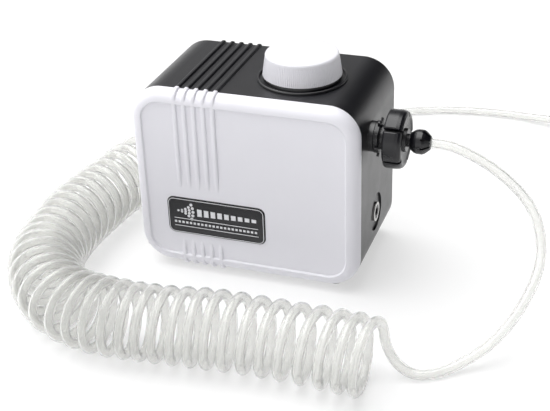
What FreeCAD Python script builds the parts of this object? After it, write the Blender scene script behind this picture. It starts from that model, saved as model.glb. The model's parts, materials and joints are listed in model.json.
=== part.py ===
"""Compact airbrush compressor: a direct-current motor drives a diaphragm pump inside a two-part case.

Millimetres, +Z up, +X to the outlet side, front face towards -Y. The origin is on the surface that
the feet stand on, under the middle of the box around the case and its outlet fittings.
"""
import FreeCAD, Part
import math
import os

V = FreeCAD.Vector
X_AXIS, Y_AXIS, Z_AXIS = (1, 0, 0), (0, 1, 0), (0, 0, 1)

# ---------------------------------------------------------------- driving dimensions
CASE_WIDTH = 147.0
CASE_HEIGHT = 121.9
CASE_DEPTH = 88.0
CORNER_RADIUS = 20.0
WALL = 2.5
COVER_DEPTH = 8.0            # how far back the front cover reaches
FOOT_HEIGHT = 4.6
OUTLET_REACH = 36.8          # from the case's right wall to the end of the hose nut
FRONT_EDGE_RADIUS = 7.0      # rounding of the cover's front rim
BACK_EDGE_RADIUS = 2.5

RIB_COUNT = 5
RIB_PITCH = 6.3
RIB_WIDTH = 3.0
RIB_HEIGHT = 1.2
RIB_CENTRE = -30.3           # from the case's middle

BADGE_WIDTH = 66.0
BADGE_HEIGHT = 26.0
BADGE_CENTRE = (-19.6, 41.0)

DIAL_CENTRE = (25.9, -0.8)
DIAL_BASE_RADIUS = 24.65
DIAL_TOP_RADIUS = 22.55
DIAL_HEIGHT = 17.0
DIAL_GAP = 3.2               # from the case's top to the skirt
COLLAR_RADIUS = 28.0
KNURL_COUNT = 120

OUTLET_Y = -14.0
OUTLET_Z = 99.0
NECK_RADIUS = 4.0            # of the hose stem, between the two nuts
UNION_RADIUS = 18.0
UNION_LOBES = 5
JACK_Y = 0.0
JACK_Z = 38.5
JACK_RECESS_RADIUS = 12.5
JACK_RECESS_DEPTH = 1.2

MOTOR_Y = 4.0
MOTOR_Z = 46.0
MOTOR_RADIUS = 18.0
STROKE_RADIUS = 2.0          # crank throw
ROD_X = -27.0                # plane of the connecting rod, from the case's middle
DIAPHRAGM_Z = 79.0
RUNNING_CLEARANCE = 0.05

HOSE_RADIUS = 3.0
COIL_RADIUS = 23.5           # outside of the wound hose
END_THREAD_RADIUS = 4.3      # one-eighth inch female thread of the airbrush nut

# Hose routes: the lead from the nut to the coil, the middle of the coil, and the tail behind it.
LEAD_ROUTE = [
    (92, -14, 99), (107, -14, 99), (135, -18, 88), (159, -28, 71), (167, -47, 49),
    (160, -70, 30), (145, -87, 11), (127, -102, 4), (110, -113, 3.5), (93, -119, 7),
]
COIL_ROUTE = [
    (92, -132, 23.5), (50, -129.5, 23.5), (5, -130.5, 23.5), (-40, -136, 23.5), (-82, -138.5, 23.5),
    (-113, -126, 23.5), (-136, -95, 23.5), (-143, -52, 23.5), (-139.5, -10, 23.5),
    (-134, 28, 23.5), (-123, 58, 23.5), (-106, 82, 23.5),
]
TAIL_ROUTE = [
    (-106, 82, 4), (-86, 108, 3.2), (-60, 144, 3.2), (-30, 184, 3.2), (6, 220, 3.2), (50, 239, 3.2),
    (94, 244, 3.2), (122, 240, 4), (138, 235, 6.5), (154, 235, 6.5),
]

# ---------------------------------------------------------------- worked-out places
CASE_X = -OUTLET_REACH / 2
RIGHT_WALL = CASE_X + CASE_WIDTH / 2
FRONT_Y = -CASE_DEPTH / 2
BACK_Y = CASE_DEPTH / 2
SPLIT_Y = FRONT_Y + COVER_DEPTH
BOTTOM_Z = FOOT_HEIGHT
TOP_Z = FOOT_HEIGHT + CASE_HEIGHT
FIELD_DEPTH = 1.0
FIELD_Y = FRONT_Y + FIELD_DEPTH
POST_X = 61.0
POST_INSET_Z = 10.0
RIB_PLACES = [CASE_X + RIB_CENTRE + (i - (RIB_COUNT - 1) / 2) * RIB_PITCH for i in range(RIB_COUNT)]

nodes = {}


# ---------------------------------------------------------------- shape helpers
def rod(radius, start, direction, length):
    """Solid cylinder from start along direction."""
    return Part.makeCylinder(radius, length, V(*start), V(*direction))


def ring(outer, inner, start, direction, length):
    """Cylinder with a hole right through."""
    return rod(outer, start, direction, length).cut(rod(inner, start, direction, length))


def block(x_range, y_range, z_range):
    """Box between two values on each axis."""
    size = [high - low for low, high in (x_range, y_range, z_range)]
    return Part.makeBox(size[0], size[1], size[2], V(x_range[0], y_range[0], z_range[0]))


def from_middle(*places):
    """X places counted from the case's middle, in the part's own frame."""
    return tuple(CASE_X + place for place in places)


def join(shapes):
    """One shape from several that touch or overlap."""
    shapes = list(shapes)
    return shapes[0].multiFuse(shapes[1:]).removeSplitter() if len(shapes) > 1 else shapes[0]


def cut_all(shape, tools):
    """Shape with every tool taken away."""
    for tool in tools:
        shape = shape.cut(tool)
    return shape


def turned(profile, centre, axis):
    """Solid of revolution from (distance along axis, radius) points about an axis through centre."""
    along = V(*axis)
    out = V(0, 0, 1) if abs(along.z) < 0.5 else V(1, 0, 0)
    points = [V(*centre) + along * a + out * r for a, r in profile]
    face = Part.Face(Part.makePolygon(points + [points[0]]))
    return face.revolve(V(*centre), along, 360)


def edges_where(shape, test):
    """Edges whose middle point passes a test."""
    return [edge for edge in shape.Edges if test(edge.CenterOfMass, edge)]


def around(shape, count, centre, axis, first=0.0):
    """Copies of a shape at even angles round an axis."""
    copies = []
    for i in range(count):
        copy = shape.copy()
        copy.rotate(V(*centre), V(*axis), first + i * 360.0 / count)
        copies.append(copy)
    return copies


def rounded_outline(half_width, z_range, radius, x_middle, y):
    """Closed rounded rectangle in a plane across Y."""
    left, right = x_middle - half_width, x_middle + half_width
    low, high = z_range
    slant = radius * (1 - math.sqrt(0.5))
    corners = [
        ((right, high - radius), (right - slant, high - slant), (right - radius, high)),
        ((left + radius, high), (left + slant, high - slant), (left, high - radius)),
        ((left, low + radius), (left + slant, low + slant), (left + radius, low)),
        ((right - radius, low), (right - slant, low + slant), (right, low + radius)),
    ]
    corners = [[V(x, y, z) for x, z in corner] for corner in corners]
    edges = []
    for corner, following in zip(corners, corners[1:] + corners[:1]):
        edges.append(Part.Arc(*corner).toShape())
        edges.append(Part.LineSegment(corner[2], following[0]).toShape())
    return Part.Wire(edges)


def case_outline(inset, y):
    """Outline of the case, moved inwards by inset."""
    z_range = (BOTTOM_Z + inset, TOP_Z - inset)
    return rounded_outline(CASE_WIDTH / 2 - inset, z_range, CORNER_RADIUS - inset, CASE_X, y)


def case_prism(inset, y_start, y_end):
    """Solid with the case's outline between two depths."""
    return Part.Face(case_outline(inset, y_start)).extrude(V(0, y_end - y_start, 0))


def plate(width, height, radius, centre, y_range):
    """Rounded plate that faces along Y; centre is (x, z)."""
    z_range = (centre[1] - height / 2, centre[1] + height / 2)
    wire = rounded_outline(width / 2, z_range, radius, centre[0], y_range[0])
    return Part.Face(wire).extrude(V(0, y_range[1] - y_range[0], 0))


# ---------------------------------------------------------------- hose and lead paths
def route_wire(points):
    """Straight runs joined by tangent arcs. Returns the wire and its arc radii."""
    points = [V(*p) for p in points]
    edges, radii = [], []
    start = points[0]
    for before, corner, after in zip(points, points[1:], points[2:]):
        back, ahead = before - corner, after - corner
        reach = 0.45 * min(back.Length, ahead.Length)
        back.normalize()
        ahead.normalize()
        half_turn = (math.pi - back.getAngle(ahead)) / 2
        radius = reach / math.tan(half_turn)
        inward = back + ahead
        inward.normalize()
        arc_start, arc_end = corner + back * reach, corner + ahead * reach
        arc_middle = corner + inward * (radius / math.cos(half_turn) - radius)
        edges.append(Part.LineSegment(start, arc_start).toShape())
        edges.append(Part.Arc(arc_start, arc_middle, arc_end).toShape())
        radii.append(radius)
        start = arc_end
    edges.append(Part.LineSegment(start, points[-1]).toShape())
    return Part.Wire(edges), radii


def tube_along(points, radius, name, bore=0.0):
    """Round tube along a route; prints its arc radii and compares its volume."""
    wire, radii = route_wire(points)
    start = V(*points[0])
    direction = V(*points[1]) - start
    section_area = math.pi * (radius ** 2 - bore ** 2)

    def sweep(size):
        section = Part.Wire(Part.makeCircle(size, start, direction))
        return wire.makePipeShell([section], True, False)

    shape = sweep(radius)
    if bore:
        shape = shape.cut(sweep(bore))
    ratio = shape.Volume / (section_area * wire.Length)
    print(f"{name}: length {wire.Length:.0f}, volume ratio {ratio:.3f}, "
          f"arc radii {[round(r) for r in radii]}")
    return shape


# ---------------------------------------------------------------- case
def rib(x, outer, inner):
    """One raised rib: a closed side profile, three millimetres wide, with its crest edges rounded.

    outer is the crest, from end to end, with an arc given as three points; inner closes the profile
    inside the wall.
    """
    low_x = x - RIB_WIDTH / 2
    edges = []
    last = None
    for step in outer:
        points = [V(low_x, y, z) for y, z in step]
        if last is not None and last.distanceToPoint(points[0]) > 1e-6:
            edges.append(Part.LineSegment(last, points[0]).toShape())
        if len(points) == 3:
            edges.append(Part.Arc(*points).toShape())
        last = points[-1]
    crest_middles = [edge.CenterOfMass for edge in edges]
    closing = [last] + [V(low_x, y, z) for y, z in inner] + [V(low_x, *outer[0][0])]
    edges += [Part.LineSegment(a, b).toShape() for a, b in zip(closing, closing[1:])]
    solid = Part.Face(Part.Wire(edges)).extrude(V(RIB_WIDTH, 0, 0))

    def on_crest(middle, _edge):
        return any(abs(middle.y - m.y) < 0.01 and abs(middle.z - m.z) < 0.01
                   and abs(abs(middle.x - x) - RIB_WIDTH / 2) < 0.01 for m in crest_middles)

    return solid.makeFillet(1.1, edges_where(solid, on_crest))


def cover_ribs():
    """Ribs that wrap the cover's top rim and fade above the badge, and return under it."""
    rib_top, rib_bottom = TOP_Z + RIB_HEIGHT, BOTTOM_Z - RIB_HEIGHT
    bend, depth = 5.5, 2.4
    fade_high, fade_low = TOP_Z - 56, TOP_Z - 68
    lower_fade = BOTTOM_Z + 20
    upper = [
        [(SPLIT_Y, rib_top)],
        [(FRONT_Y + bend, rib_top), (FRONT_Y + 1.5, rib_top - 1.9), (FRONT_Y, rib_top - 6.5)],
        [(FRONT_Y, fade_high)],
        [(FIELD_Y + 0.2, fade_low)],
    ]
    upper_inner = [(FRONT_Y + depth, fade_low), (FRONT_Y + depth, TOP_Z - depth),
                   (SPLIT_Y, TOP_Z - depth)]
    lower = [
        [(SPLIT_Y, rib_bottom)],
        [(FRONT_Y + bend, rib_bottom), (FRONT_Y + 1.5, rib_bottom + 1.9), (FRONT_Y, rib_bottom + 6.5)],
        [(FRONT_Y, lower_fade - 7)],
        [(FIELD_Y + 0.2, lower_fade)],
    ]
    lower_inner = [(FRONT_Y + depth, lower_fade), (FRONT_Y + depth, BOTTOM_Z + depth),
                   (SPLIT_Y, BOTTOM_Z + depth)]
    ribs = [rib(x, upper, upper_inner) for x in RIB_PLACES]
    return ribs + [rib(x, lower, lower_inner) for x in RIB_PLACES]


def case_ribs():
    """Ribs that carry on along the main case's top and bottom to its rounded back edge."""
    bend, depth = 2.2, 1.5
    ribs = []
    for side, face_z in ((1, TOP_Z), (-1, BOTTOM_Z)):
        crest = face_z + side * RIB_HEIGHT
        outer = [
            [(SPLIT_Y, crest)],
            [(BACK_Y - bend, crest), (BACK_Y - 0.6, crest - side * 1.0), (BACK_Y, crest - side * 3.6)],
        ]
        inner = [(BACK_Y - depth, crest - side * 3.6), (BACK_Y - depth, face_z - side * depth),
                 (SPLIT_Y, face_z - side * depth)]
        ribs += [rib(x, outer, inner) for x in RIB_PLACES]
    return ribs


def screw_places():
    """The four case screws, as (x, z)."""
    return [(CASE_X + side * POST_X, z) for side in (-1, 1)
            for z in (BOTTOM_Z + POST_INSET_Z, TOP_Z - POST_INSET_Z)]


def post_web(x, z, y_range):
    """Web that ties a corner post to the nearest side wall, and ends inside the wall."""
    wall_x = CASE_X + math.copysign(CASE_WIDTH / 2, x - CASE_X)
    web = block(tuple(sorted((x, wall_x))), y_range, (z - 0.8, z + 0.8))
    return web.common(case_prism(WALL / 2, *y_range))


def make_front_cover():
    """White front cover: rounded rim, sunk field, ribs, badge pocket, locating lip and screw bosses."""
    shell = case_prism(0, FRONT_Y, SPLIT_Y)
    front_edges = edges_where(shell, lambda middle, edge: abs(middle.y - FRONT_Y) < 0.01)
    shell = shell.makeFillet(FRONT_EDGE_RADIUS, front_edges)
    field = Part.makeLoft([case_outline(7.3, FRONT_Y), case_outline(8.2, FIELD_Y)], True, True)
    shell = shell.cut(field)
    shell = join([shell] + cover_ribs())
    badge_place = (CASE_X + BADGE_CENTRE[0], BADGE_CENTRE[1])
    pocket = plate(BADGE_WIDTH + 0.3, BADGE_HEIGHT + 0.3, 4.65, badge_place, (FRONT_Y - 1, FIELD_Y + 0.5))
    cavity = case_prism(WALL, FRONT_Y + 3.2, SPLIT_Y)
    shell = cut_all(shell, [pocket, cavity])
    lip_root = case_prism(WALL - 0.1, SPLIT_Y - 2.5, SPLIT_Y).cut(case_prism(4.2, SPLIT_Y - 2.5, SPLIT_Y))
    lip = case_prism(WALL + 0.1, SPLIT_Y, SPLIT_Y + 3).cut(case_prism(4.2, SPLIT_Y, SPLIT_Y + 3))
    parts = [shell, lip_root, lip]
    for x, z in screw_places():
        boss = rod(4.0, (x, FRONT_Y + 2.5, z), Y_AXIS, -FRONT_Y - 2.5)
        parts.append(boss)
        parts.append(post_web(x, z, (FRONT_Y + 2.5, SPLIT_Y)))
    cover = join(parts)
    holes = [rod(1.3, (x, -14, z), Y_AXIS, 15) for x, z in screw_places()]
    return cut_all(cover, holes)


def make_main_case():
    """Black rear tub: ribs, dial bushing hole, outlet boss, jack recess, vents, posts and foot seats."""
    shell = case_prism(0, SPLIT_Y, BACK_Y)
    back_edges = edges_where(shell, lambda middle, edge: abs(middle.y - BACK_Y) < 0.01)
    shell = shell.makeFillet(BACK_EDGE_RADIUS, back_edges)
    shell = join([shell] + case_ribs())
    shell = shell.cut(case_prism(WALL, SPLIT_Y, BACK_Y - WALL))
    outlet_boss = rod(9.5, (RIGHT_WALL - WALL, OUTLET_Y, OUTLET_Z), X_AXIS, WALL + 3)
    outlet_pad = rod(12, (RIGHT_WALL - WALL - 0.8, OUTLET_Y, OUTLET_Z), X_AXIS, WALL)
    jack_cup = rod(JACK_RECESS_RADIUS + 2.2, (RIGHT_WALL - 6, JACK_Y, JACK_Z), X_AXIS, 5)
    parts = [shell, outlet_boss, outlet_pad, jack_cup]
    for x, z in screw_places():
        parts.append(rod(4.5, (x, 0.2, z), Y_AXIS, BACK_Y - 1 - 0.2))
        parts.append(post_web(x, z, (5, BACK_Y - 1)))
    for x, y in grommet_places():
        parts.append(rod(4.0, (x, y, BOTTOM_Z + 1), Z_AXIS, 17 - BOTTOM_Z - 1))
    for x, y in board_screw_places():
        parts.append(rod(2.5, (x, y, BOTTOM_Z + 1), Z_AXIS, BOARD_Z - BOTTOM_Z - 1))
    case = join(parts)
    holes = [
        rod(7.55, (RIGHT_WALL - WALL - 2, OUTLET_Y, OUTLET_Z), X_AXIS, WALL + 7),
        rod(JACK_RECESS_RADIUS, (RIGHT_WALL - JACK_RECESS_DEPTH, JACK_Y, JACK_Z), X_AXIS, 5),
        rod(4.6, (RIGHT_WALL - 8, JACK_Y, JACK_Z), X_AXIS, 8),
        rod(4.05, (CASE_X + DIAL_CENTRE[0], DIAL_CENTRE[1], TOP_Z - WALL - 1), Z_AXIS, WALL + 2),
    ]
    for x, z in screw_places():
        holes.append(rod(1.7, (x, -1, z), Y_AXIS, 20))
        holes.append(rod(3.3, (x, 12, z), Y_AXIS, BACK_Y))
    for x, y in foot_places():
        holes.append(rod(6.6, (x, y, BOTTOM_Z - 1), Z_AXIS, 1.8))
    for x, y in grommet_places():
        holes.append(rod(1.25, (x, y, BOTTOM_Z + 4), Z_AXIS, 20))
    for x, y in board_screw_places():
        holes.append(rod(0.9, (x, y, BOTTOM_Z + 3), Z_AXIS, 20))
    for row in range(9):
        z = 52 + row * 5
        for side in (-1, 1):
            middle = CASE_X + side * 20
            holes.append(block((middle - 15, middle + 15), (BACK_Y - 4, BACK_Y + 1), (z, z + 2)))
    return cut_all(case, holes)


def make_badge():
    """Blank badge plate in its pocket."""
    badge_place = (CASE_X + BADGE_CENTRE[0], BADGE_CENTRE[1])
    badge = plate(BADGE_WIDTH, BADGE_HEIGHT, 4.5, badge_place, (FIELD_Y - 0.4, FIELD_Y + 0.5))
    front = edges_where(badge, lambda middle, edge: abs(middle.y - FIELD_Y + 0.4) < 0.01)
    return badge.makeFillet(0.3, front)


def foot_places():
    """Middles of the four feet."""
    return [(CASE_X + side_x * 54, side_y * 27) for side_x in (-1, 1) for side_y in (-1, 1)]


def make_feet():
    """Four soft feet that sit in shallow seats under the case."""
    top = FOOT_HEIGHT + 0.8
    profile = [(0, 0), (0, 5.2), (0.6, 6.0), (FOOT_HEIGHT, 6.5), (top, 6.5), (top, 0)]
    return [turned(profile, (x, y, 0), Z_AXIS) for x, y in foot_places()]


def make_case_screws():
    """Four long self-tapping screws that pull the cover onto the main case."""
    screws = []
    for x, z in screw_places():
        head = rod(2.8, (x, 12, z), Y_AXIS, 2.4)
        slots = [block((x - 1.9, x + 1.9), (13.2, 15), (z - 0.35, z + 0.35)),
                 block((x - 0.35, x + 0.35), (13.2, 15), (z - 1.9, z + 1.9))]
        shank = rod(1.3, (x, -12, z), Y_AXIS, 24.5)
        screws.append(cut_all(join([head, shank]), slots))
    return screws


# ---------------------------------------------------------------- dial on top
def knurl_groove(base, slope):
    """One shallow V groove along the dial's skirt, from its foot to just under its top edge."""
    depth, half_width = 0.32, 0.42
    low, high = DIAL_GAP - 0.5, DIAL_HEIGHT - 1.3

    def section(height, bite):
        outer = DIAL_TOP_RADIUS + slope * (DIAL_HEIGHT - height)
        tip = V(*base) + V(outer - bite, 0, height)
        corners = [tip, tip + V(1.0, -half_width * 2, 0), tip + V(1.0, half_width * 2, 0)]
        return Part.makePolygon(corners + [tip])

    return Part.makeLoft([section(low, depth), section(high - 1.5, depth), section(high, 0.0)], True, True)


def make_dial():
    """Dial collar, knob, control body, its nut and its shaft, about a vertical axis."""
    x, y = CASE_X + DIAL_CENTRE[0], DIAL_CENTRE[1]
    base = (x, y, TOP_Z)
    collar = [(0, 19), (0, COLLAR_RADIUS), (0.9, COLLAR_RADIUS), (1.4, COLLAR_RADIUS - 0.25),
              (1.6, COLLAR_RADIUS - 0.8), (1.4, COLLAR_RADIUS - 1.4), (0.4, COLLAR_RADIUS - 1.8),
              (0.4, DIAL_BASE_RADIUS - 0.6), (DIAL_GAP - 0.5, DIAL_BASE_RADIUS - 1.2), (DIAL_GAP - 0.5, 19)]
    nodes["dial_collar"] = turned(collar, base, Z_AXIS)

    slope = (DIAL_BASE_RADIUS - DIAL_TOP_RADIUS) / (DIAL_HEIGHT - DIAL_GAP)
    knob = [
        (DIAL_HEIGHT, 0), (DIAL_HEIGHT, DIAL_TOP_RADIUS - 1.0),
        (DIAL_HEIGHT - 0.25, DIAL_TOP_RADIUS - 0.35),
        (DIAL_HEIGHT - 0.9, DIAL_TOP_RADIUS + 0.9 * slope), (DIAL_GAP, DIAL_BASE_RADIUS),
        (DIAL_GAP, DIAL_BASE_RADIUS - 2.2), (DIAL_HEIGHT - 2.5, DIAL_TOP_RADIUS - 2.4),
        (DIAL_HEIGHT - 2.5, 5.5), (5.0, 5.5), (5.0, 0),
    ]
    body = turned(knob, base, Z_AXIS)
    body = body.cut(Part.makeCompound(around(knurl_groove(base, slope), KNURL_COUNT, base, Z_AXIS)))
    nodes["dial_knob"] = body.cut(rod(3.0, (x, y, TOP_Z), Z_AXIS, 12))

    under = TOP_Z - WALL
    control = join([rod(8.5, (x, y, under - 9), Z_AXIS, 9), rod(4.0, (x, y, under - 1), Z_AXIS, WALL + 4.5),
                    block((x - 6, x + 6), (y - 13, y - 6), (under - 5, under - 3.4))])
    nodes["dial_control"] = control.cut(rod(3.0 + RUNNING_CLEARANCE, (x, y, under - 6), Z_AXIS, 20))
    nut = Part.Face(Part.makePolygon([V(x + 6.4 * math.cos(math.radians(a)),
                                        y + 6.4 * math.sin(math.radians(a)), TOP_Z)
                                      for a in range(0, 361, 60)])).extrude(V(0, 0, 2.2))
    nodes["dial_nut"] = nut.cut(rod(4.0, (x, y, TOP_Z), Z_AXIS, 3))
    nodes["dial_shaft"] = rod(3.0, (x, y, under - 5.9), Z_AXIS, 5.9 + WALL + 12)


# ---------------------------------------------------------------- air outlet
def make_outlet():
    """Outlet barrel, lock ring, lobed union knob, hose stem and hose nut on one axis."""
    def at(distance):
        return (RIGHT_WALL + distance, OUTLET_Y, OUTLET_Z)

    barrel = join([rod(10.5, at(-5.8), X_AXIS, 2.5), rod(7.5, at(-4), X_AXIS, 17.4),
                   rod(4.5, at(-10), X_AXIS, 6), rod(3.0, at(-20), X_AXIS, 11)])
    thread = [ring(8, 7.15, at(8.8 + i * 1.2), X_AXIS, 0.45) for i in range(4)]
    barrel = cut_all(barrel, [rod(1.8, at(-20), X_AXIS, 35)] + thread)
    nodes["outlet_barrel"] = barrel

    lock_profile = [(3.0, 7.55), (3.0, 9.4), (3.5, 9.9), (6.1, 9.9), (6.6, 9.4), (6.6, 7.55)]
    lock_ring = turned(lock_profile, at(0), X_AXIS)
    tooth = block((RIGHT_WALL + 4.9, RIGHT_WALL + 6.5), (OUTLET_Y - 0.9, OUTLET_Y + 0.9),
                  (OUTLET_Z + 9.2, OUTLET_Z + 12))
    tooth = tooth.makeFillet(0.4, edges_where(tooth, lambda middle, edge: middle.z > OUTLET_Z + 11.9))
    nodes["outlet_lock_ring"] = join([lock_ring] + around(tooth, 8, at(0), X_AXIS, first=-28))

    start, rim, end = 10.5, 22.0, 22.6
    outer = UNION_RADIUS
    knob_profile = [
        (start, 0), (start, outer - 1.4), (start + 0.4, outer - 0.4), (start + 1.2, outer),
        (rim - 4.0, outer), (rim - 2.0, outer - 0.4), (rim - 0.7, outer - 1.1), (rim, outer - 2.2),
        (rim, outer - 3.4), (rim - 0.7, outer - 5.0), (rim - 1.2, 9.6), (rim - 1.2, 7.4),
        (end, 6.9), (end, 0),
    ]
    knob = turned(knob_profile, at(0), X_AXIS)
    length = end - start + 2
    slot_floor, slot_half_width = 14.8, 0.9
    slot = join([block((RIGHT_WALL + start - 1, RIGHT_WALL + end + 1),
                       (OUTLET_Y - slot_half_width, OUTLET_Y + slot_half_width),
                       (OUTLET_Z + slot_floor, OUTLET_Z + 22)),
                 rod(1.1, (RIGHT_WALL + start - 1, OUTLET_Y, OUTLET_Z + slot_floor), X_AXIS, length)])
    knob = knob.cut(Part.makeCompound(around(slot, UNION_LOBES, at(0), X_AXIS, first=48)))

    def beside_slot(middle, edge):
        reach = math.hypot(middle.y - OUTLET_Y, middle.z - OUTLET_Z)
        return reach > UNION_RADIUS - 0.35 and abs(edge.tangentAt(edge.FirstParameter).x) > 0.999

    knob = knob.makeFillet(1.0, edges_where(knob, beside_slot))
    bores = [rod(7.5 + RUNNING_CLEARANCE, at(start - 1), X_AXIS, 16.0 - start + 1),
             rod(NECK_RADIUS + RUNNING_CLEARANCE, at(start), X_AXIS, 20)]
    nodes["union_knob"] = cut_all(knob, bores)

    stem = join([rod(6.9, at(13.5), X_AXIS, 2.4), rod(NECK_RADIUS, at(13.5), X_AXIS, 12),
                 rod(4.6, at(25.2), X_AXIS, 5.8), rod(1.9, at(30), X_AXIS, 2.0)])
    thread = [ring(5, 4.3, at(26 + i * 1.2), X_AXIS, 0.4) for i in range(4)]
    nodes["hose_stem"] = cut_all(stem, [rod(1.2, at(12), X_AXIS, 22)] + thread)

    nut_start, nut_end = 24.8, OUTLET_REACH
    nut_profile = [(nut_start, 0), (nut_start, 5.3), (26.0, 6.1), (27.4, 7.1), (28.8, 7.5), (32.2, 7.5),
                   (33.8, 6.7), (35.4, 5.3), (36.4, 4.4), (nut_end, 3.9), (nut_end, 0)]
    nut = turned(nut_profile, at(0), X_AXIS)
    end_slot = block((RIGHT_WALL + nut_end - 5.4, RIGHT_WALL + nut_end + 1),
                     (OUTLET_Y - 0.6, OUTLET_Y + 0.6), (OUTLET_Z + 3.7, OUTLET_Z + 9))
    nut = nut.cut(Part.makeCompound(around(end_slot, 8, at(0), X_AXIS, first=11)))
    bores = [rod(4.6 + RUNNING_CLEARANCE, at(nut_start - 1), X_AXIS, 7.6),
             rod(HOSE_RADIUS + 0.15, at(nut_start), X_AXIS, 20)]
    nodes["hose_nut"] = cut_all(nut, bores)


# ---------------------------------------------------------------- power inlet
def make_jack():
    """Direct-current jack in the round recess low on the right wall."""
    def at(distance):
        return (RIGHT_WALL + distance, JACK_Y, JACK_Z)

    floor = -JACK_RECESS_DEPTH
    socket = join([rod(4.5, at(-13), X_AXIS, 13.2),
                   block((RIGHT_WALL - 18, RIGHT_WALL - 12), (JACK_Y - 4.5, JACK_Y + 4.5),
                         (JACK_Z - 5.5, JACK_Z + 4.5))])
    nodes["jack_socket"] = socket.cut(rod(2.75, at(-9), X_AXIS, 12))
    nodes["jack_bezel"] = ring(6.3, 4.55, at(floor), X_AXIS, -floor + 0.4)
    nodes["jack_pin"] = rod(1.05, at(-9), X_AXIS, 8.4)
    corners = [(7 * math.cos(math.radians(a)), 7 * math.sin(math.radians(a))) for a in range(0, 361, 60)]
    hexagon = [V(RIGHT_WALL - 8.2, JACK_Y + across, JACK_Z + up) for across, up in corners]
    nut = Part.Face(Part.makePolygon(hexagon)).extrude(V(2.2, 0, 0))
    nodes["jack_nut"] = nut.cut(rod(4.55, at(-9), X_AXIS, 4))


# ---------------------------------------------------------------- pump cradle
BOARD_Z = 13.0


def grommet_places():
    """Rubber mounts under the pump cradle."""
    return [(x, MOTOR_Y + side * 26.5) for x in from_middle(-42, 38) for side in (-1, 1)]


def board_screw_places():
    """Posts of the control board."""
    return [(x, y) for x in from_middle(10, 50) for y in (-13, 17)]


def make_cradle():
    """Steel cradle plate, rubber mounts, shoulder screws, motor saddle and motor strap."""
    plate_low, plate_high = 24.0, 26.0
    x_range = from_middle(-48, 44)
    cradle = block(x_range, (MOTOR_Y - 32, MOTOR_Y + 32), (plate_low, plate_high))
    corners = edges_where(cradle, lambda middle, edge: abs(middle.z - 25) < 0.01)
    cradle = cradle.makeFillet(5, corners)
    cradle = cut_all(cradle, [rod(3.0, (x, y, plate_low), Z_AXIS, 2) for x, y in grommet_places()])
    nodes["pump_cradle"] = cradle
    grommets, screws = [], []
    for x, y in grommet_places():
        outline = [(17, 1.7), (17, 5.5), (plate_low, 5.5), (plate_low, 3.0), (plate_high, 3.0),
                   (plate_high, 5.5), (28.5, 4.8), (28.5, 1.7)]
        grommets.append(turned(outline, (x, y, 0), Z_AXIS))
        shank = join([rod(1.5, (x, y, 17.2), Z_AXIS, 11.5), rod(1.2, (x, y, 10), Z_AXIS, 8),
                      rod(3.2, (x, y, 28.5), Z_AXIS, 1.8)])
        screws.append(shank)
    nodes["cradle_grommets"] = Part.makeCompound(grommets)
    nodes["cradle_screws"] = Part.makeCompound(screws)

    saddle = block(from_middle(4, 36), (MOTOR_Y - 11, MOTOR_Y + 11), (plate_high, 33))
    motor = rod(MOTOR_RADIUS, (CASE_X, MOTOR_Y, MOTOR_Z), X_AXIS, 60)
    nodes["motor_saddle"] = saddle.cut(motor)
    strap_x = from_middle(14, 24)
    band = ring(MOTOR_RADIUS + 1.2, MOTOR_RADIUS, (strap_x[0], MOTOR_Y, MOTOR_Z), X_AXIS, 10)
    band = band.cut(block((strap_x[0], strap_x[1]), (MOTOR_Y - 30, MOTOR_Y + 30), (plate_low, MOTOR_Z)))
    legs = []
    for side in (-1, 1):
        inner, outer = MOTOR_Y + side * MOTOR_RADIUS, MOTOR_Y + side * (MOTOR_RADIUS + 1.2)
        foot = MOTOR_Y + side * (MOTOR_RADIUS + 8)
        legs.append(block(strap_x, tuple(sorted((inner, outer))), (plate_high, MOTOR_Z)))
        legs.append(block(strap_x, tuple(sorted((inner, foot))), (plate_high, plate_high + 1.2)))
    nodes["motor_strap"] = join([band] + legs)


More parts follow.
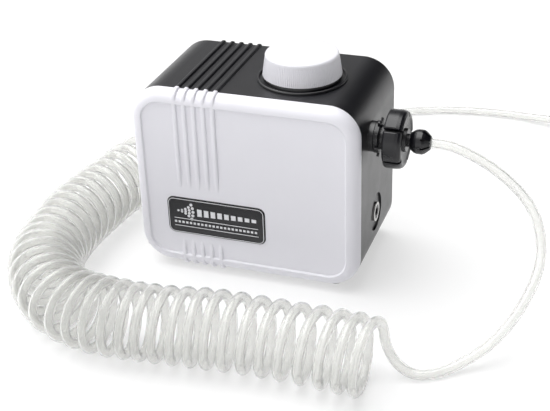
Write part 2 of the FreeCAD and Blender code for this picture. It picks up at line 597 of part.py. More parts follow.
# ---------------------------------------------------------------- motor
def make_motor():
    """Motor can, end cap, magnets, bushings, rotor, shaft and screws along X."""
    def at(place):
        return (CASE_X + place, MOTOR_Y, MOTOR_Z)

    can = join([rod(MOTOR_RADIUS, at(-8), X_AXIS, 52), rod(6.0, at(-11), X_AXIS, 3)])
    can = cut_all(can, [rod(MOTOR_RADIUS - 1.2, at(-6.5), X_AXIS, 55), rod(3.0, at(-12), X_AXIS, 20)])
    screw_holes = [rod(1.2, (CASE_X - 8, MOTOR_Y + side * 9, MOTOR_Z), X_AXIS, 1.5) for side in (-1, 1)]
    nodes["motor_can"] = cut_all(can, screw_holes)
    cap = join([rod(MOTOR_RADIUS, at(44), X_AXIS, 2.0), rod(MOTOR_RADIUS - 1.25, at(40), X_AXIS, 4.5),
                rod(6.0, at(46), X_AXIS, 2.5)])
    cap = cap.cut(rod(3.0, at(39), X_AXIS, 12))
    terminals = [block(from_middle(45, 52), (MOTOR_Y + side * 10 - 1.5, MOTOR_Y + side * 10 + 1.5),
                       (MOTOR_Z - 8.4, MOTOR_Z - 7.9)) for side in (-1, 1)]
    nodes["motor_end_cap"] = join([cap] + terminals)
    bushings = [ring(3.0, 1.5 + RUNNING_CLEARANCE, at(-11), X_AXIS, 4.5),
                ring(3.0, 1.5 + RUNNING_CLEARANCE, at(42), X_AXIS, 5)]
    nodes["motor_bushings"] = Part.makeCompound(bushings)
    magnet = ring(MOTOR_RADIUS - 1.25, 13.0, at(0), X_AXIS, 34)
    gap = block(from_middle(-1, 35), (MOTOR_Y - 20, MOTOR_Y + 20), (MOTOR_Z - 5, MOTOR_Z + 5))
    nodes["motor_magnets"] = magnet.cut(gap)
    slot = block(from_middle(1, 33), (MOTOR_Y - 0.8, MOTOR_Y + 0.8), (MOTOR_Z + 7.5, MOTOR_Z + 14))
    core = rod(12.3, at(2), X_AXIS, 30).cut(Part.makeCompound(around(slot, 5, at(0), X_AXIS)))
    commutator = rod(4.2, at(32), X_AXIS, 7)
    nodes["motor_rotor"] = join([core, commutator]).cut(rod(1.5, at(1), X_AXIS, 40))
    nodes["motor_shaft"] = rod(1.5, at(-19), X_AXIS, 66)
    screws = []
    for side in (-1, 1):
        y = MOTOR_Y + side * 9
        screws.append(join([rod(1.2, (CASE_X - 14, y, MOTOR_Z), X_AXIS, 7.5),
                            rod(2.4, (CASE_X - 15.6, y, MOTOR_Z), X_AXIS, 1.6)]))
    nodes["motor_screws"] = Part.makeCompound(screws)


# ---------------------------------------------------------------- diaphragm pump
def make_pump_housing():
    """Crank housing that carries the motor on one side and the pump head on top."""
    outer = block(from_middle(-44, -11), (MOTOR_Y - 20, MOTOR_Y + 20), (26, DIAPHRAGM_Z))
    edges = edges_where(outer, lambda middle, edge: abs(edge.tangentAt(edge.FirstParameter).z) > 0.9)
    outer = outer.makeFillet(3, edges)
    cavity = block(from_middle(-45, -14), (MOTOR_Y - 17, MOTOR_Y + 17), (29, DIAPHRAGM_Z - 3))
    holes = [cavity, rod(14, (CASE_X + ROD_X, MOTOR_Y, DIAPHRAGM_Z - 4), Z_AXIS, 5),
             rod(6.05, (CASE_X - 15, MOTOR_Y, MOTOR_Z), X_AXIS, 5)]
    holes += [rod(1.25, (CASE_X - 15, MOTOR_Y + side * 9, MOTOR_Z), X_AXIS, 5) for side in (-1, 1)]
    holes += [rod(1.3, (x, y, DIAPHRAGM_Z - 3), Z_AXIS, 4) for x, y in head_screw_places()]
    nodes["pump_housing"] = cut_all(outer, holes)


def head_screw_places():
    """Corners of the pump head, where its screws go."""
    sides = [(side_x, side_y) for side_x in (-1, 1) for side_y in (-1, 1)]
    return [(CASE_X + ROD_X + side_x * 13.6, MOTOR_Y + side_y * 16.6) for side_x, side_y in sides]


def make_crank():
    """Counterweighted crank disc and its pin, on the motor shaft."""
    disc = rod(8.0, (CASE_X - 21, MOTOR_Y, MOTOR_Z), X_AXIS, 5)
    weight = rod(14.0, (CASE_X - 21, MOTOR_Y, MOTOR_Z), X_AXIS, 5)
    other_half = block(from_middle(-22, -15), (MOTOR_Y - 3, MOTOR_Y + 20), (MOTOR_Z - 20, MOTOR_Z + 20))
    weight = weight.cut(other_half)
    crank = join([disc, weight]).cut(rod(1.5, (CASE_X - 19, MOTOR_Y, MOTOR_Z), X_AXIS, 5))
    pin_y = MOTOR_Y + STROKE_RADIUS
    nodes["crank_disc"] = crank.cut(rod(2.0, (CASE_X - 21, pin_y, MOTOR_Z), X_AXIS, 1.8))
    nodes["crank_pin"] = rod(2.0, (CASE_X - 31, pin_y, MOTOR_Z), X_AXIS, 11.8)


def make_rod():
    """Connecting rod with its bearing, and the clamp that holds the diaphragm's middle."""
    y = MOTOR_Y + STROKE_RADIUS
    x = CASE_X + ROD_X
    nodes["rod_bearing"] = ring(4.5, 2.0 + RUNNING_CLEARANCE, (x - 2.5, y, MOTOR_Z), X_AXIS, 5)
    eye = rod(7.0, (x - 2.8, y, MOTOR_Z), X_AXIS, 5.6)
    arm = block((x - 2.5, x + 2.5), (y - 3.5, y + 3.5), (MOTOR_Z + 5, DIAPHRAGM_Z - 4))
    head = rod(9.0, (x, y, DIAPHRAGM_Z - 5.4), Z_AXIS, 2.5)
    neck = rod(3.0, (x, y, DIAPHRAGM_Z - 3.5), Z_AXIS, 6.8)
    body = join([eye, arm, head, neck])
    bores = [rod(4.5, (x - 3, y, MOTOR_Z), X_AXIS, 6), rod(1.2, (x, y, DIAPHRAGM_Z - 6), Z_AXIS, 12)]
    nodes["connecting_rod"] = cut_all(body, bores)
    clamp = ring(9.0, 1.25, (x, y, DIAPHRAGM_Z + 3.3), Z_AXIS, 1.4)
    nodes["clamp_plate"] = clamp
    screw = join([rod(1.2, (x, y, DIAPHRAGM_Z - 4), Z_AXIS, 9),
                  rod(2.6, (x, y, DIAPHRAGM_Z + 4.7), Z_AXIS, 1.2)])
    nodes["clamp_screw"] = screw


def make_head():
    """Diaphragm, valve plate, reed valves, gasket, cylinder head, screws and intake filter."""
    x = CASE_X + ROD_X
    z = DIAPHRAGM_Z
    half_x, half_y = 17.0, 20.0
    x_range, y_range = (x - half_x, x + half_x), (MOTOR_Y - half_y, MOTOR_Y + half_y)

    def slab(low, high, hole_radius):
        body = block(x_range, y_range, (low, high))
        corners = edges_where(body, lambda middle, edge: abs(edge.tangentAt(edge.FirstParameter).z) > 0.9)
        body = body.makeFillet(3, corners)
        holes = [rod(hole_radius, (px, py, low), Z_AXIS, high - low) for px, py in head_screw_places()]
        return cut_all(body, holes)

    rubber = [(0, 5.4), (0, 8.7), (-0.6, 9.6), (-0.6, 11.6), (0, 12.5), (0, 15.6), (1, 15.6), (1, 12.2),
              (0.4, 11.3), (0.4, 9.9), (1, 9.0), (1, 5.4)]
    nodes["diaphragm"] = turned(rubber, (x, MOTOR_Y, z), Z_AXIS)
    spacer = slab(z, z + 1, 1.35).cut(rod(15.7, (x, MOTOR_Y, z), Z_AXIS, 1))
    valve_plate = slab(z + 1, z + 12, 1.35).cut(rod(13.5, (x, MOTOR_Y, z + 1), Z_AXIS, 8))
    ports = [rod(1.6, (x + side * 6, MOTOR_Y, z + 8), Z_AXIS, 5) for side in (-1, 1)]
    nodes["valve_plate"] = cut_all(join([spacer, valve_plate]), ports)
    nodes["reed_valves"] = Part.makeCompound([rod(3.2, (x + 6, MOTOR_Y, z + 12.4), Z_AXIS, 0.3),
                                              rod(3.2, (x - 6, MOTOR_Y, z + 8.5), Z_AXIS, 0.3)])
    gasket = slab(z + 12, z + 12.8, 1.35)
    chambers = [block((x + 1.2, x + 12), (MOTOR_Y - 11, MOTOR_Y + 11), (z + 12, z + 19)),
                block((x - 12, x - 1.2), (MOTOR_Y - 11, MOTOR_Y + 11), (z + 12, z + 19))]
    nodes["head_gasket"] = cut_all(gasket, chambers)
    head = cut_all(slab(z + 12.8, z + 25, 1.35), [chambers[0], chambers[1]])
    spigot = rod(3.2, (x + half_x - 1, MOTOR_Y, OUTLET_Z), X_AXIS, 9)
    filter_seat = rod(7.5, (x - 6, MOTOR_Y, z + 24), Z_AXIS, 6)
    head = join([head, spigot, filter_seat])
    head = cut_all(head, [rod(1.8, (x + 10, MOTOR_Y, z + 17.0), Z_AXIS, 3),
                          rod(1.8, (x + 8.2, MOTOR_Y, OUTLET_Z), X_AXIS, 20),
                          rod(1.8, (x - 6, MOTOR_Y, z + 18), Z_AXIS, 10),
                          rod(6.3, (x - 6, MOTOR_Y, z + 26), Z_AXIS, 5)])
    nodes["cylinder_head"] = head
    nodes["intake_filter"] = rod(6.2, (x - 6, MOTOR_Y, z + 26), Z_AXIS, 3.8)
    cap = [(30, 0), (30, 7.6), (28, 7.6), (28, 9.0), (32.2, 9.0), (33, 8.2), (33, 0)]
    cap = turned([(a + z, r) for a, r in cap], (x - 6, MOTOR_Y, 0), Z_AXIS)
    vent = block((x - 6.8, x - 5.2), (MOTOR_Y + 3, MOTOR_Y + 6.5), (z + 29, z + 34))
    nodes["filter_cap"] = cap.cut(Part.makeCompound(around(vent, 6, (x - 6, MOTOR_Y, 0), Z_AXIS)))
    screws = []
    for px, py in head_screw_places():
        shank = rod(1.2, (px, py, z - 2.5), Z_AXIS, 28)
        screws.append(shank.fuse(rod(2.4, (px, py, z + 25), Z_AXIS, 1.6)))
    nodes["head_screws"] = Part.makeCompound(screws)


def make_air_line():
    """Soft tube from the pump head to the outlet barrel, with two spring clips."""
    start = CASE_X + ROD_X + 18.5
    end = RIGHT_WALL - 12
    points = [(start, MOTOR_Y, OUTLET_Z), (start + 14, MOTOR_Y, OUTLET_Z),
              (start + 33, MOTOR_Y - 9, OUTLET_Z), (end - 14, OUTLET_Y, OUTLET_Z), (end, OUTLET_Y, OUTLET_Z)]
    nodes["outlet_tube"] = tube_along(points, 4.8, "outlet_tube", bore=3.2)
    clips = [ring(5.6, 4.85, (start + 2, MOTOR_Y, OUTLET_Z), X_AXIS, 2.5),
             ring(5.6, 4.85, (end - 5, OUTLET_Y, OUTLET_Z), X_AXIS, 2.5)]
    nodes["tube_clips"] = Part.makeCompound(clips)


# ---------------------------------------------------------------- control board and leads
def make_board():
    """Control board on four posts, with its larger components, and the leads to jack, motor and dial."""
    high = BOARD_Z + 1.6
    board = block(from_middle(6, 54), (-17, 21), (BOARD_Z, high))
    holes = [rod(1.1, (x, y, BOARD_Z), Z_AXIS, 2) for x, y in board_screw_places()]
    nodes["control_board"] = cut_all(board, holes)
    capacitor = rod(3.0, (CASE_X + 47.5, -8, high), Z_AXIS, 7.5)
    regulator = block(from_middle(47, 51.5), (2.5, 10), (high, high + 6.5))
    plugs = [block(from_middle(9, 15), (-9, 3), (high, high + 5)),
             block(from_middle(42, 48), (-1.5, 1.5), (high, high + 4))]
    nodes["board_parts"] = Part.makeCompound([capacitor, regulator] + plugs)
    screws = [join([rod(0.9, (x, y, BOARD_Z - 5), Z_AXIS, 6.6), rod(2.0, (x, y, high), Z_AXIS, 1.2)])
              for x, y in board_screw_places()]
    nodes["board_screws"] = Part.makeCompound(screws)

    leads = []
    for side in (-1, 1):
        y = MOTOR_Y + side * 10
        points = [(CASE_X + 51.0, y, MOTOR_Z - 9.3), (CASE_X + 54, y, MOTOR_Z - 12),
                  (CASE_X + 56, y * 0.9, 30), (CASE_X + 55, y * 0.7, 22), (CASE_X + 51.5, y * 0.55, 17.5)]
        leads.append(tube_along(points, 0.8, "motor lead"))
    nodes["motor_leads"] = Part.makeCompound(leads)
    leads = []
    for side in (-1, 1):
        x = RIGHT_WALL - 18.8
        points = [(x, JACK_Y + side * 3, 35), (x - 0.4, JACK_Y + side * 3, 31),
                  (x - 1.6, JACK_Y + side * 2.4, 26), (x - 4.5, JACK_Y + side * 1.2 + 0.5, 22.5),
                  (x - 7.0, JACK_Y + side * 1.0 + 0.5, 19.4)]
        leads.append(tube_along(points, 0.8, "jack lead"))
    nodes["jack_leads"] = Part.makeCompound(leads)
    leads = []
    top = TOP_Z - WALL - 5
    for i in (-1, 0, 1):
        x = CASE_X + DIAL_CENTRE[0] + 4 * i
        y = DIAL_CENTRE[1] - 12
        points = [(x, y, top), (x, y - 5, top - 8), (x - 1, y - 20, 92), (x - 3, y - 22, 70),
                  (x - 6, y - 22, 48), (x - 9, y - 22, 29), (x - 11, y - 17, 18), (x - 12, y + 1, 17)]
        leads.append(tube_along(points, 0.8, "dial lead"))
    nodes["dial_leads"] = Part.makeCompound(leads)


# ---------------------------------------------------------------- hose
def make_hose():
    """Clear hose: straight lead, wound length as its outer shape, tail, and the airbrush fitting."""
    exit_x = RIGHT_WALL + 32.2
    lead = [(exit_x, OUTLET_Y, OUTLET_Z)] + LEAD_ROUTE[1:]
    nodes["hose_lead"] = tube_along(lead, HOSE_RADIUS, "hose_lead")
    nodes["hose_coil"] = tube_along(COIL_ROUTE, COIL_RADIUS, "hose_coil")
    nodes["hose_tail"] = tube_along(TAIL_ROUTE, HOSE_RADIUS, "hose_tail")
    end_x, end_y, end_z = TAIL_ROUTE[-1]
    ferrule = [(0, 0), (0, 3.9), (0.6, 4.3), (2.6, 4.3), (3.0, 3.9), (5.0, 3.9), (5.4, 4.3), (8.4, 4.3),
               (9.0, 3.6), (9.0, 2.6), (14.4, 2.6), (14.4, 3.9), (15.6, 3.9), (15.6, 0)]
    nodes["end_ferrule"] = turned(ferrule, (end_x, end_y, end_z), X_AXIS)
    nut_start = end_x + 10
    profile = [(0, 0), (0, 5.6), (0.7, 6.4), (11.3, 6.4), (12, 5.8), (12, 0)]
    nut = turned(profile, (nut_start, end_y, end_z), X_AXIS)
    flute = rod(0.45, (nut_start - 1, end_y, end_z + 6.6), X_AXIS, 13)
    nut = nut.cut(Part.makeCompound(around(flute, 30, (nut_start, end_y, end_z), X_AXIS)))
    bores = [rod(2.6 + RUNNING_CLEARANCE, (nut_start - 1, end_y, end_z), X_AXIS, 20),
             rod(4.6, (nut_start + 4.0, end_y, end_z), X_AXIS, 2.2),
             rod(END_THREAD_RADIUS, (nut_start + 6.0, end_y, end_z), X_AXIS, 20)]
    nodes["end_nut"] = cut_all(nut, bores)


# ---------------------------------------------------------------- build
nodes["front_cover"] = make_front_cover()
nodes["main_case"] = make_main_case()
nodes["badge_plate"] = make_badge()
nodes["rubber_feet"] = Part.makeCompound(make_feet())
nodes["case_screws"] = Part.makeCompound(make_case_screws())
make_dial()
make_outlet()
make_jack()
make_cradle()
make_motor()
make_pump_housing()
make_crank()
make_rod()
make_head()
make_air_line()
make_board()
make_hose()

os.makedirs("parts", exist_ok=True)
for name, shape in nodes.items():
    shape.exportStep(f"parts/{name}.step")
    box = shape.BoundBox
    state = "ok" if shape.isValid() else "INVALID"
    print(f"{name}: {state}, {len(shape.Solids)} solids, volume {shape.Volume:.0f}, "
          f"x {box.XMin:.1f}..{box.XMax:.1f}, y {box.YMin:.1f}..{box.YMax:.1f}, "
          f"z {box.ZMin:.1f}..{box.ZMax:.1f}")
print(len(nodes), "nodes")
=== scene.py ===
"""Looks of the small airbrush compressor: materials, badge motif, clear coiled hose, studio."""
import json
import math

import bmesh
import bpy
from mathutils import Matrix, Vector


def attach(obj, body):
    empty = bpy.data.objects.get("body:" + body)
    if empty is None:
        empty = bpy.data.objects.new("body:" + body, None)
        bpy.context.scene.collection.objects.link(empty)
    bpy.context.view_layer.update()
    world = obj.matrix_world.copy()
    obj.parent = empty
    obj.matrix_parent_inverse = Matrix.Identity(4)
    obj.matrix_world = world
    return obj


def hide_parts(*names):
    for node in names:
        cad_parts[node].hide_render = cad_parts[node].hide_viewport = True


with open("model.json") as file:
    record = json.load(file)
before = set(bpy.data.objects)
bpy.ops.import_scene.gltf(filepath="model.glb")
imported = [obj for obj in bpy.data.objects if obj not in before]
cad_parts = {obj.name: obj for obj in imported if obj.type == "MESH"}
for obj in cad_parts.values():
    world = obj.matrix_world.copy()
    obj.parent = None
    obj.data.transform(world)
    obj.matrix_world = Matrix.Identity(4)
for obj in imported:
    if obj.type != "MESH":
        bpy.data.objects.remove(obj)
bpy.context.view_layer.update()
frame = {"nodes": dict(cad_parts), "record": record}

MM = 0.001
NODES = frame["nodes"]


# ---------------------------------------------------------------- camera
CAMERA_PLACE = (0.2217, -0.6398, 0.4168)
CAMERA_AZIMUTH = 20.21
CAMERA_ELEVATION = 29.44
CAMERA_ROLL = -2.02


def add_camera():
    """Camera on a short telephoto lens, above the right front of the object."""
    data = bpy.data.cameras.new("camera")
    data.lens = 77.5
    data.sensor_width = 36.0
    data.clip_start = 0.01
    camera = bpy.data.objects.new("camera", data)
    bpy.context.scene.collection.objects.link(camera)
    turn = Matrix.Rotation(math.radians(CAMERA_AZIMUTH), 4, "Z")
    tilt = Matrix.Rotation(math.radians(90 - CAMERA_ELEVATION), 4, "X")
    roll = Matrix.Rotation(math.radians(CAMERA_ROLL), 4, "Z")
    camera.matrix_world = Matrix.Translation(CAMERA_PLACE) @ turn @ tilt @ roll
    bpy.context.scene.camera = camera


# ---------------------------------------------------------------- material helpers
def set_input(shader, name, value):
    """Set a socket of the shader by its name."""
    shader.inputs[name].default_value = value


def new_material(name, colour, roughness, metallic=0.0):
    """Principled material with its main values set on the shader itself."""
    material = bpy.data.materials.new(name)
    material.use_nodes = True
    shader = material.node_tree.nodes["Principled BSDF"]
    set_input(shader, "Base Color", (*colour, 1.0))
    set_input(shader, "Roughness", roughness)
    set_input(shader, "Metallic", metallic)
    return material, shader


def add_node(material, kind, **inputs):
    """New node with some of its inputs set; underscores in names stand for spaces."""
    node = material.node_tree.nodes.new(kind)
    for name, value in inputs.items():
        node.inputs[name.replace("_", " ")].default_value = value
    return node


def wire(material, source, target):
    """Connect two sockets."""
    material.node_tree.links.new(source, target)


def object_coordinates(material):
    """Coordinates in the object's own frame, in metres."""
    return add_node(material, "ShaderNodeTexCoord").outputs["Object"]


def noise(material, scale, detail=2.0, stretch=None):
    """Noise texture in the object's frame; stretch scales its axes."""
    texture = add_node(material, "ShaderNodeTexNoise", Scale=scale, Detail=detail)
    coordinates = object_coordinates(material)
    if stretch:
        mapping = add_node(material, "ShaderNodeMapping")
        mapping.inputs["Scale"].default_value = stretch
        wire(material, coordinates, mapping.inputs["Vector"])
        coordinates = mapping.outputs["Vector"]
    wire(material, coordinates, texture.inputs["Vector"])
    return texture.outputs["Fac"]


def ranged(material, value, low, high):
    """Map a 0 to 1 value to a range."""
    node = add_node(material, "ShaderNodeMapRange")
    node.inputs["To Min"].default_value = low
    node.inputs["To Max"].default_value = high
    wire(material, value, node.inputs["Value"])
    return node.outputs["Result"]


def mixed_colour(material, factor, first, second):
    """Colour between two, by a factor."""
    node = add_node(material, "ShaderNodeMix")
    node.data_type = "RGBA"
    colour_a, colour_b = [socket for socket in node.inputs if socket.type == "RGBA"]
    colour_a.default_value = (*first, 1.0)
    colour_b.default_value = (*second, 1.0)
    wire(material, factor, node.inputs["Factor"])
    return next(socket for socket in node.outputs if socket.type == "RGBA")


def add_bump(material, shader, height, distance, strength=1.0):
    """Bump from a height value; distance is in metres."""
    node = add_node(material, "ShaderNodeBump", Strength=strength, Distance=distance)
    wire(material, height, node.inputs["Height"])
    wire(material, node.outputs["Normal"], shader.inputs["Normal"])


# ---------------------------------------------------------------- materials
def moulded_plastic(name, colour, other, roughness, grain, grain_depth, coat=0.0, ior=1.49):
    """Moulded plastic: faint mottling, uneven gloss and a fine grain."""
    material, shader = new_material(name, colour, roughness)
    mottling = noise(material, 45.0, 3.0)
    wire(material, mixed_colour(material, mottling, colour, other), shader.inputs["Base Color"])
    smears = noise(material, 90.0, 4.0)
    wire(material, ranged(material, smears, roughness - 0.05, roughness + 0.07), shader.inputs["Roughness"])
    add_bump(material, shader, noise(material, grain, 2.0), grain_depth)
    set_input(shader, "IOR", ior)
    set_input(shader, "Coat Weight", coat)
    return material


def brushed_metal(name, colour, roughness, stretch=(1.0, 14.0, 14.0)):
    """Metal with fine turning or brushing lines."""
    material, shader = new_material(name, colour, roughness, metallic=1.0)
    lines = noise(material, 900.0, 3.0, stretch)
    wire(material, ranged(material, lines, roughness - 0.08, roughness + 0.1), shader.inputs["Roughness"])
    add_bump(material, shader, lines, 0.00002, 0.4)
    return material


def soft_rubber(name, colour, roughness):
    """Rubber or soft insulation: dull, slightly mottled."""
    material, shader = new_material(name, colour, roughness)
    lighter = tuple(min(1.0, c * 1.5 + 0.01) for c in colour)
    mottling = noise(material, 300.0, 4.0)
    wire(material, mixed_colour(material, mottling, colour, lighter), shader.inputs["Base Color"])
    add_bump(material, shader, noise(material, 2500.0, 2.0), 0.00003)
    return material


def clear_hose():
    """Clear flexible hose: slightly milky, glossy, with faint extrusion lines."""
    material, shader = new_material("clear_hose", (0.975, 0.975, 0.96), 0.08)
    cloud = noise(material, 60.0, 2.0)
    tint = mixed_colour(material, cloud, (0.97, 0.972, 0.955), (0.985, 0.985, 0.975))
    wire(material, tint, shader.inputs["Base Color"])
    wire(material, ranged(material, noise(material, 250.0, 2.0), 0.04, 0.13), shader.inputs["Roughness"])
    set_input(shader, "Transmission Weight", 0.84)
    set_input(shader, "IOR", 1.33)
    add_bump(material, shader, noise(material, 700.0, 1.0), 0.00004, 0.5)
    return material


def make_materials():
    """Every material by the record's slot name."""
    return {
        "white_shell": moulded_plastic(
            "white_shell", (0.74, 0.735, 0.78), (0.72, 0.715, 0.765),
            0.36, 1800.0, 0.00003),
        "white_dial": moulded_plastic(
            "white_dial", (0.68, 0.675, 0.71), (0.66, 0.655, 0.695),
            0.38, 2200.0, 0.00002),
        "black_shell": moulded_plastic(
            "black_shell", (0.004, 0.004, 0.006), (0.006, 0.006, 0.008),
            0.33, 2600.0, 0.00004, ior=1.62),
        "black_fitting": moulded_plastic(
            "black_fitting", (0.004, 0.004, 0.006), (0.006, 0.006, 0.008),
            0.27, 1500.0, 0.00003),
        "badge": moulded_plastic(
            "badge", (0.010, 0.010, 0.012), (0.014, 0.014, 0.017),
            0.2, 1200.0, 0.00001),
        "rubber": soft_rubber("rubber", (0.02, 0.02, 0.02), 0.75),
        "steel": brushed_metal("steel", (0.6, 0.61, 0.63), 0.32),
        "nickel": brushed_metal("nickel", (0.55, 0.54, 0.53), 0.34),
        "bronze": brushed_metal("bronze", (0.60, 0.38, 0.18), 0.4),
        "aluminium": brushed_metal("aluminium", (0.64, 0.65, 0.67), 0.42, (3.0, 3.0, 3.0)),
        "pump_plastic": moulded_plastic(
            "pump_plastic", (0.03, 0.03, 0.033), (0.045, 0.045, 0.05),
            0.55, 1400.0, 0.00006),
        "magnet": soft_rubber("magnet", (0.03, 0.03, 0.033), 0.6),
        "board": moulded_plastic(
            "board", (0.01, 0.09, 0.035), (0.015, 0.12, 0.05),
            0.3, 700.0, 0.00003, coat=0.4),
        "component": moulded_plastic(
            "component", (0.02, 0.02, 0.024), (0.03, 0.03, 0.035),
            0.4, 1500.0, 0.00003),
        "wire_red": soft_rubber("wire_red", (0.35, 0.012, 0.012), 0.5),
        "felt": soft_rubber("felt", (0.7, 0.69, 0.64), 0.95),
        "air_tube": soft_rubber("air_tube", (0.6, 0.6, 0.57), 0.4),
        "hose": clear_hose(),
        "badge_mark": moulded_plastic(
            "badge_mark", (0.72, 0.72, 0.74), (0.66, 0.66, 0.69),
            0.3, 1500.0, 0.00001),
    }


def dress_cad_nodes(materials):
    """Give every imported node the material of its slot."""
    for part in frame["record"]["subparts"]:
        mesh = NODES[part["node"]].data
        mesh.materials.clear()
        mesh.materials.append(materials[part["material_slot"]])


# ---------------------------------------------------------------- hose
HOSE_RADIUS = 3.0 * MM
BORE_RADIUS = 2.1 * MM
HOSE_SIDES = 20
TURN_POINTS = 14             # control points for each turn of the wound stretch
TURN_RADIUS = 20.5           # of the hose's middle line in the wound stretch
UNWIND = 14.0                # last stretch of the coil's line, where the turns open out

# Lead from the nut to the top of the first turn, the middle line of the wound stretch, and the tail,
# in millimetres.
LEAD = [
    (87, -14, 99), (92, -14, 99), (107, -14, 99), (135, -18, 88), (159, -28, 71), (167, -47, 49),
    (160, -70, 30), (145, -87, 11), (128, -101, 4), (121.5, -107.2, 3.2), (113, -112.5, 3.0),
    (106.3, -113.6, 3.7), (99.0, -113.4, 7.1), (93.0, -112.0, 14.0), (90.2, -111.3, 21.5),
    (89.4, -111.6, 29.0), (88.9, -115.4, 36.7), (88.2, -122.7, 42.5),
]
COIL_LINE = [
    (87, -131.8), (50, -129.5), (5, -130.5), (-40, -136), (-82, -138.5), (-113, -126), (-136, -95),
    (-143, -52), (-139.5, -10), (-134, 28), (-123, 58), (-106, 82),
]
TAIL = [
    (-127.3, 85.3, 8.9), (-121, 93.3, 3.0), (-110, 104.5, 3.2), (-92, 120, 3.2), (-64, 144, 3.2),
    (-30, 184, 3.2), (6, 220, 3.2), (50, 239, 3.2), (94, 244, 3.2), (122, 240, 4),
    (138, 235, 6.5), (154, 235, 6.5),
]
# Distance along the coil, and the distance between its turns there.
PITCHES = [(0, 9.6), (25, 11.6), (50, 12.2), (85, 10.6), (130, 9.8), (165, 9.6), (190, 11.0), (215, 9.6),
           (260, 10.2), (300, 9.7), (330, 10.6), (370, 11.8), (440, 12.0)]


def read_points(points, steps):
    """Points along a smooth NURBS line through control points in millimetres; returned in metres."""
    data = bpy.data.curves.new("line", "CURVE")
    data.dimensions = "3D"
    data.resolution_u = steps
    spline = data.splines.new("NURBS")
    spline.points.add(len(points) - 1)
    for place, point in zip(spline.points, points):
        place.co = (*(c * MM for c in point), 1.0)
    spline.order_u = 3
    spline.use_endpoint_u = True
    holder = bpy.data.objects.new("line", data)
    bpy.context.scene.collection.objects.link(holder)
    bpy.context.view_layer.update()
    mesh = bpy.data.meshes.new_from_object(holder)
    read = [v.co.copy() for v in mesh.vertices]
    bpy.data.meshes.remove(mesh)
    bpy.data.objects.remove(holder)
    bpy.data.curves.remove(data)
    return read


def pitch_at(distance):
    """Distance between turns, from the nearest two given values."""
    for (start, first), (end, second) in zip(PITCHES, PITCHES[1:]):
        if distance <= end:
            share = (distance - start) / (end - start)
            return first + (second - first) * share
    return PITCHES[-1][1]


def helix_points():
    """Control points of the wound stretch, from the top of its first turn; each turn rests on the floor."""
    line = [p / MM for p in read_points([(x, y, 0) for x, y in COIL_LINE], 12)]
    lengths = [0.0]
    for before, after in zip(line, line[1:]):
        lengths.append(lengths[-1] + (after - before).length)
    up = Vector((0, 0, 1))
    # A NURBS line of order 3 runs inside its control points, on a circle this much smaller than theirs.
    shrink = (3 + math.cos(math.tau / TURN_POINTS)) / 4
    points = []
    distance, turns, index = 0.0, 0.5, 0
    while distance < lengths[-1] - UNWIND:
        while lengths[index + 1] < distance:
            index += 1
        ahead = line[index + 1] - line[index]
        share = (distance - lengths[index]) / ahead.length
        middle = line[index].lerp(line[index + 1], share)
        side = ahead.normalized().cross(up)
        angle = turns * math.tau
        # Turns of a real hose are not all alike: slow waves move each one a little and change its size.
        drift = 0.35 * math.sin(turns * 1.7) + 0.25 * math.sin(turns * 0.61 + 1.0)
        size = TURN_RADIUS + 0.25 * math.sin(turns * 0.9)
        reach = size / shrink
        height = HOSE_RADIUS / MM + size - reach * math.cos(angle)
        across = reach * math.sin(angle)
        points.append(middle + ahead.normalized() * drift + side * across + up * height)
        turns += 1 / TURN_POINTS
        distance += pitch_at(distance) / TURN_POINTS
    # Past the line's end the last turn goes round to its outer side, where the tail takes over.
    while math.cos(turns * math.tau) < 0.6 or math.sin(turns * math.tau) > 0:
        angle = turns * math.tau
        height = HOSE_RADIUS / MM + TURN_RADIUS * (1 - math.cos(angle))
        points.append(middle + side * (TURN_RADIUS * math.sin(angle)) + up * height)
        turns += 1 / TURN_POINTS
    return points


def tube_mesh(name, path, outer, inner, sides):
    """Hollow tube along close points, open bore, with ring faces at both ends."""
    mesh = bmesh.new()
    tangents = []
    for i in range(len(path)):
        before, after = path[max(i - 1, 0)], path[min(i + 1, len(path) - 1)]
        tangents.append((after - before).normalized())
    normal = tangents[0].orthogonal().normalized()
    rings = {outer: [], inner: []}
    for centre, tangent in zip(path, tangents):
        normal = (normal - tangent * normal.dot(tangent)).normalized()
        side = tangent.cross(normal)
        for radius, made in rings.items():
            ring = []
            for k in range(sides):
                angle = math.tau * k / sides
                outwards = normal * math.cos(angle) + side * math.sin(angle)
                ring.append(mesh.verts.new(centre + outwards * radius))
            made.append(ring)
    for k in range(sides):
        n = (k + 1) % sides
        for first, second in zip(rings[outer], rings[outer][1:]):
            mesh.faces.new((first[k], first[n], second[n], second[k]))
        for first, second in zip(rings[inner], rings[inner][1:]):
            mesh.faces.new((first[k], second[k], second[n], first[n]))
        start_out, start_in = rings[outer][0], rings[inner][0]
        end_out, end_in = rings[outer][-1], rings[inner][-1]
        mesh.faces.new((start_out[k], start_in[k], start_in[n], start_out[n]))
        mesh.faces.new((end_out[k], end_out[n], end_in[n], end_in[k]))
    data = bpy.data.meshes.new(name)
    mesh.to_mesh(data)
    mesh.free()
    for face in data.polygons:
        face.use_smooth = True
    piece = bpy.data.objects.new(name, data)
    bpy.context.scene.collection.objects.link(piece)
    return piece


def add_hose(materials):
    """One clear hose: lead, wound stretch and tail on a single line."""
    wound = helix_points()
    points = LEAD + [tuple(p) for p in wound] + TAIL
    path = read_points(points, 3)
    hose = tube_mesh("hose", path, HOSE_RADIUS, BORE_RADIUS, HOSE_SIDES)
    hose.data.materials.append(materials["hose"])
    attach(hose, "root")
    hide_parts("hose_lead", "hose_coil", "hose_tail")


# ---------------------------------------------------------------- badge motif
BADGE_CENTRE = (-38.0, 41.0)
BADGE_FRONT_Y = -43.8
MARK_HEIGHT = 0.05


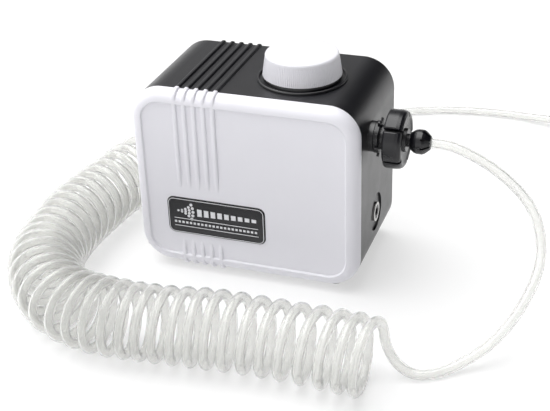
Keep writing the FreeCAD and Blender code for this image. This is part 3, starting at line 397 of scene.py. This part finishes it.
def raise_outline(mesh, outline):
    """Thin raised mark from its outline of (x, z) points about the badge's centre, in millimetres."""
    layers = []
    for y in (BADGE_FRONT_Y + MARK_HEIGHT, BADGE_FRONT_Y - MARK_HEIGHT):
        places = [(BADGE_CENTRE[0] + x, y, BADGE_CENTRE[1] + z) for x, z in outline]
        layers.append([mesh.verts.new(Vector(place) * MM) for place in places])
    back, front = layers
    mesh.faces.new(front)
    for i in range(len(outline)):
        n = (i + 1) % len(outline)
        mesh.faces.new((front[i], back[i], back[n], front[n]))


def bar(x_start, x_end, z_middle, height):
    """Outline of an upright-ended bar."""
    low, high = z_middle - height / 2, z_middle + height / 2
    return [(x_start, low), (x_end, low), (x_end, high), (x_start, high)]


def dot(x, z, radius):
    """Outline of a round dot."""
    angles = [math.tau * i / 16 for i in range(16)]
    return [(x + radius * math.cos(a), z + radius * math.sin(a)) for a in angles]


def corner_arcs(half_width, half_height, radius):
    """Rounded rectangle as points in order."""
    points = []
    for sign_x, sign_z, first in ((1, 1, 0), (-1, 1, 90), (-1, -1, 180), (1, -1, 270)):
        for step in range(7):
            angle = math.radians(first + step * 15)
            points.append((sign_x * (half_width - radius) + radius * math.cos(angle),
                           sign_z * (half_height - radius) + radius * math.sin(angle)))
    return points


def add_badge_motif(materials):
    """Generic motif on the badge: a border, a fan of spray dots, and plain stripes and blocks."""
    mesh = bmesh.new()
    outer, inner = corner_arcs(32.2, 12.2, 3.8), corner_arcs(31.8, 11.8, 3.4)
    for i in range(len(outer)):
        n = (i + 1) % len(outer)
        raise_outline(mesh, [outer[i], outer[n], inner[n], inner[i]])
    for row in range(5):
        reach, count = 2.6 + 2.5 * row, 1 + row
        for i in range(count):
            angle = math.radians(12 * (i - (count - 1) / 2))
            place = (-28.0 + reach * math.cos(angle), 3.6 + reach * math.sin(angle))
            raise_outline(mesh, dot(*place, 0.75 + 0.08 * row))
    for i in range(9):
        raise_outline(mesh, bar(-12.5 + 4.6 * i, -9.4 + 4.6 * i, 3.6, 5.2 - 0.35 * i))
    raise_outline(mesh, bar(-28.5, 28.5, -1.9, 0.45))
    for i in range(22):
        raise_outline(mesh, bar(-28.5 + 2.6 * i, -26.9 + 2.6 * i, -4.6, 1.5))
    raise_outline(mesh, bar(-28.5, 28.5, -7.4, 0.45))
    data = bpy.data.meshes.new("badge_motif")
    mesh.to_mesh(data)
    mesh.free()
    data.materials.append(materials["badge_mark"])
    motif = bpy.data.objects.new("badge_motif", data)
    bpy.context.scene.collection.objects.link(motif)
    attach(motif, "root")


# ---------------------------------------------------------------- studio
def add_stage():
    """Wide white floor under the object."""
    bpy.ops.mesh.primitive_plane_add(size=30.0, location=(0, 0, 0))
    floor = bpy.context.object
    floor.name = "floor"
    material, shader = new_material("floor", (0.35, 0.35, 0.35), 0.6)
    set_input(shader, "Emission Color", (1.0, 1.0, 1.0, 1.0))
    set_input(shader, "Emission Strength", 0.58)
    set_input(shader, "Specular IOR Level", 0.1)
    floor.data.materials.append(material)


SOFT_BOX_DIRECTION = (-0.30, 0.07, 0.95)
SOFT_BOX_STRENGTH = 4.4


def light_scene():
    """Dim surroundings, a bright horizon that carries the white floor on, and a soft box overhead."""
    world = bpy.data.worlds.new("studio")
    world.use_nodes = True
    direction = add_node(world, "ShaderNodeTexCoord").outputs["Generated"]
    split = add_node(world, "ShaderNodeSeparateXYZ")
    wire(world, direction, split.inputs["Vector"])

    def smooth_range(value, start, end, low, high):
        node = add_node(world, "ShaderNodeMapRange")
        node.interpolation_type = "SMOOTHSTEP"
        for name, number in (("From Min", start), ("From Max", end), ("To Min", low), ("To Max", high)):
            node.inputs[name].default_value = number
        wire(world, value, node.inputs["Value"])
        return node.outputs["Result"]

    def along(axis):
        node = add_node(world, "ShaderNodeVectorMath")
        node.operation = "DOT_PRODUCT"
        wire(world, direction, node.inputs[0])
        node.inputs[1].default_value = Vector(axis).normalized()
        return node.outputs["Value"]

    def added(first, second):
        node = add_node(world, "ShaderNodeMath")
        node.operation = "ADD"
        wire(world, first, node.inputs[0])
        wire(world, second, node.inputs[1])
        return node.outputs["Value"]

    horizon = smooth_range(split.outputs["Z"], 0.02, 0.14, 0.9, 0.0)
    left_wall = smooth_range(along((-1.0, 0.45, 0.0)), 0.1, 0.9, 0.0, 0.42)
    front_wall = smooth_range(along((-0.6, -1.0, 0.15)), 0.1, 0.95, 0.0, 0.95)
    soft_box = smooth_range(along(SOFT_BOX_DIRECTION), 0.74, 0.92, 0.0, SOFT_BOX_STRENGTH)
    background = world.node_tree.nodes["Background"]
    walls = added(left_wall, front_wall)
    wire(world, added(added(horizon, walls), soft_box), background.inputs["Strength"])
    background.inputs["Color"].default_value = (1, 1, 1, 1)
    bpy.context.scene.world = world
    bpy.context.scene.view_settings.view_transform = "Standard"


# ---------------------------------------------------------------- build
add_camera()
MATERIALS = make_materials()
dress_cad_nodes(MATERIALS)
add_hose(MATERIALS)
add_badge_motif(MATERIALS)
add_stage()
light_scene()
